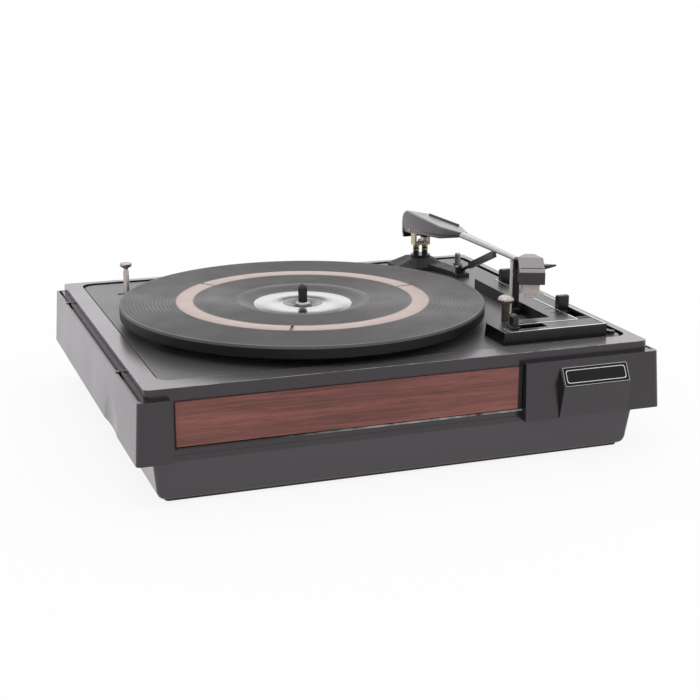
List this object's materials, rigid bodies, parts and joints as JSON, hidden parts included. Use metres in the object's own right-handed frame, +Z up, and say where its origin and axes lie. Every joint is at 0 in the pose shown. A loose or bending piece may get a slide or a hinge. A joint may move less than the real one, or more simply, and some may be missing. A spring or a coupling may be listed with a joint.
{
  "type": "automatic record changer",
  "caption": "Automatic record changer: a sprung deck with turning platter, pivoting tonearm, slide controls and drive train, set in a moulded plinth with a wood-grain front panel.",
  "frame": {"origin": "centre of the footprint's bounding box, on the table under the feet", "axes": "+X to the user's right, +Y to the back, +Z up"},
  "size_m": [0.388, 0.3474, 0.1307],
  "materials": {
    "plinth_black": "satin moulded black, slightly worn at the edges",
    "bottom_board": "brown hardboard",
    "rubber_black": "matte",
    "bright_screw": "nickel plated, slightly tarnished",
    "walnut": "walnut-grain veneer",
    "badge_black": "gloss black with a silver border",
    "spring_steel": "bright wire",
    "deck_paint": "fine textured black paint",
    "panel_black": "smooth black",
    "chrome_line": "bright",
    "platter_paint": "satin black",
    "mat_rubber": "ribbed, matte",
    "ring_tan": "satin tan",
    "hub_aluminium": "radially brushed",
    "ivory_plastic": "moulded ivory",
    "motor_iron": "laminated iron",
    "coil_copper": "varnished wire",
    "steel": "plain",
    "brass": "satin",
    "arm_black": "satin black",
    "arm_silver": "satin grey",
    "cartridge_pale": "pale translucent plastic",
    "knob_black": "gloss black",
    "switch_red": "phenolic"
  },
  "bodies": {
    "plinth": {"plinth_shell": "plinth_black", "bottom_cover": "bottom_board", "feet": "rubber_black", "cover_screws": "bright_screw", "wood_panel": "walnut", "badge_block": "plinth_black", "badge_plate": "badge_black", "cord_grommets": "rubber_black", "suspension_springs": "spring_steel"},
    "deck": {"unit_plate": "deck_paint", "control_panel": "panel_black", "panel_trim": "chrome_line", "arm_rest": "knob_black", "rest_clip": "bright_screw", "arm_pedestal": "knob_black", "overarm_post": "chrome_line", "bearing_post": "steel", "thrust_ring": "steel", "idler_bracket": "steel", "motor_frame": "motor_iron", "motor_coil": "coil_copper", "motor_bracket": "steel", "motor_grommets": "rubber_black", "motor_screws": "bright_screw", "power_switch": "switch_red", "panel_screws": "bright_screw"},
    "platter": {"platter": "platter_paint", "platter_mat": "mat_rubber", "mat_ring": "ring_tan", "hub_disc": "hub_aluminium", "drive_pinion": "ivory_plastic"},
    "spindle": {"spindle": "knob_black"},
    "idler": {"idler_wheel": "ivory_plastic", "idler_tyre": "rubber_black"},
    "rotor": {"motor_rotor": "steel", "motor_pulley": "brass"},
    "cam": {"cam_gear": "ivory_plastic"},
    "turret": {"arm_turret": "knob_black", "arm_yoke": "brass"},
    "tonearm": {"arm_housing": "arm_black", "counterweight": "steel", "tilt_pin": "steel", "arm_tube": "arm_silver", "head_shell": "arm_black", "finger_lift": "arm_black", "cartridge": "cartridge_pale", "stylus": "steel"},
    "function_knob": {"function_knob": "knob_black"},
    "speed_knob": {"speed_knob": "knob_black"},
    "cue_knob": {"cue_knob": "knob_black"},
    "size_lever": {"size_lever": "knob_black"},
    "size_feeler": {"size_feeler": "knob_black"},
    "transit_left": {"transit_screw_left": "bright_screw"},
    "transit_right": {"transit_screw_right": "bright_screw"}
  },
  "joints": [
    {"name": "deck_float", "type": "slide", "parent": "plinth", "child": "deck", "axis": [0, 0, 1], "range_m": [-0.003, 0.003], "stiffness_N_per_m": 8000, "springref_m": 0.00422, "deforming": ["suspension_springs"]},
    {"name": "platter_spin", "type": "hinge", "parent": "deck", "child": "platter", "pos_m": [-0.03, -0.01201, 0.09], "axis": [0, 0, -1], "continuous": true},
    {"name": "spindle_lift", "type": "slide", "parent": "deck", "child": "spindle", "axis": [0, 0, 1], "range_m": [0, 0.05]},
    {"name": "idler_spin", "type": "hinge", "parent": "deck", "child": "idler", "pos_m": [-0.1474, -0.01201, 0.089], "axis": [0, 0, -1], "continuous": true},
    {"name": "motor_spin", "type": "hinge", "parent": "deck", "child": "rotor", "pos_m": [-0.12673, -0.00449, 0.06], "axis": [0, 0, -1], "continuous": true},
    {"name": "cam_spin", "type": "hinge", "parent": "deck", "child": "cam", "pos_m": [0.0126, 0.03059, 0.084], "axis": [0, 0, -1], "continuous": true},
    {"name": "arm_swing", "type": "hinge", "parent": "deck", "child": "turret", "pos_m": [0.129, 0.13359, 0.09], "axis": [0, 0, -1], "range_deg": [0, 34]},
    {"name": "arm_lift", "type": "hinge", "parent": "turret", "child": "tonearm", "pos_m": [0.129, 0.13359, 0.1143], "axis": [-1, 0, 0], "range_deg": [0, 12]},
    {"name": "function_slide", "type": "slide", "parent": "deck", "child": "function_knob", "axis": [1, 0, 0], "range_m": [0, 0.022]},
    {"name": "speed_slide", "type": "slide", "parent": "deck", "child": "speed_knob", "axis": [0, -1, 0], "range_m": [0, 0.026]},
    {"name": "cue_slide", "type": "slide", "parent": "deck", "child": "cue_knob", "axis": [0, -1, 0], "range_m": [0, 0.02]},
    {"name": "size_lever_turn", "type": "hinge", "parent": "deck", "child": "size_lever", "pos_m": [0.158, -0.11671, 0.082], "axis": [0, 0, 1], "range_deg": [0, 25]},
    {"name": "feeler_swing", "type": "hinge", "parent": "deck", "child": "size_feeler", "pos_m": [0.146, 0.08359, 0.086], "axis": [0, 0, 1], "range_deg": [0, 10], "stiffness_Nm_per_rad": 0.02},
    {"name": "transit_left_turn_down", "type": "slide", "parent": "deck", "child": "transit_left", "axis": [0, 0, -1], "range_m": [-0.002, 0.012]},
    {"name": "transit_right_turn_down", "type": "slide", "parent": "deck", "child": "transit_right", "axis": [0, 0, -1], "range_m": [-0.002, 0.012]}
  ],
  "couplings": [
    {"joint": "idler_spin", "follows": "platter_spin", "ratio": 7.1947},
    {"joint": "motor_spin", "follows": "platter_spin", "ratio": -50.63},
    {"joint": "cam_spin", "follows": "platter_spin", "ratio": -0.25}
  ]
}
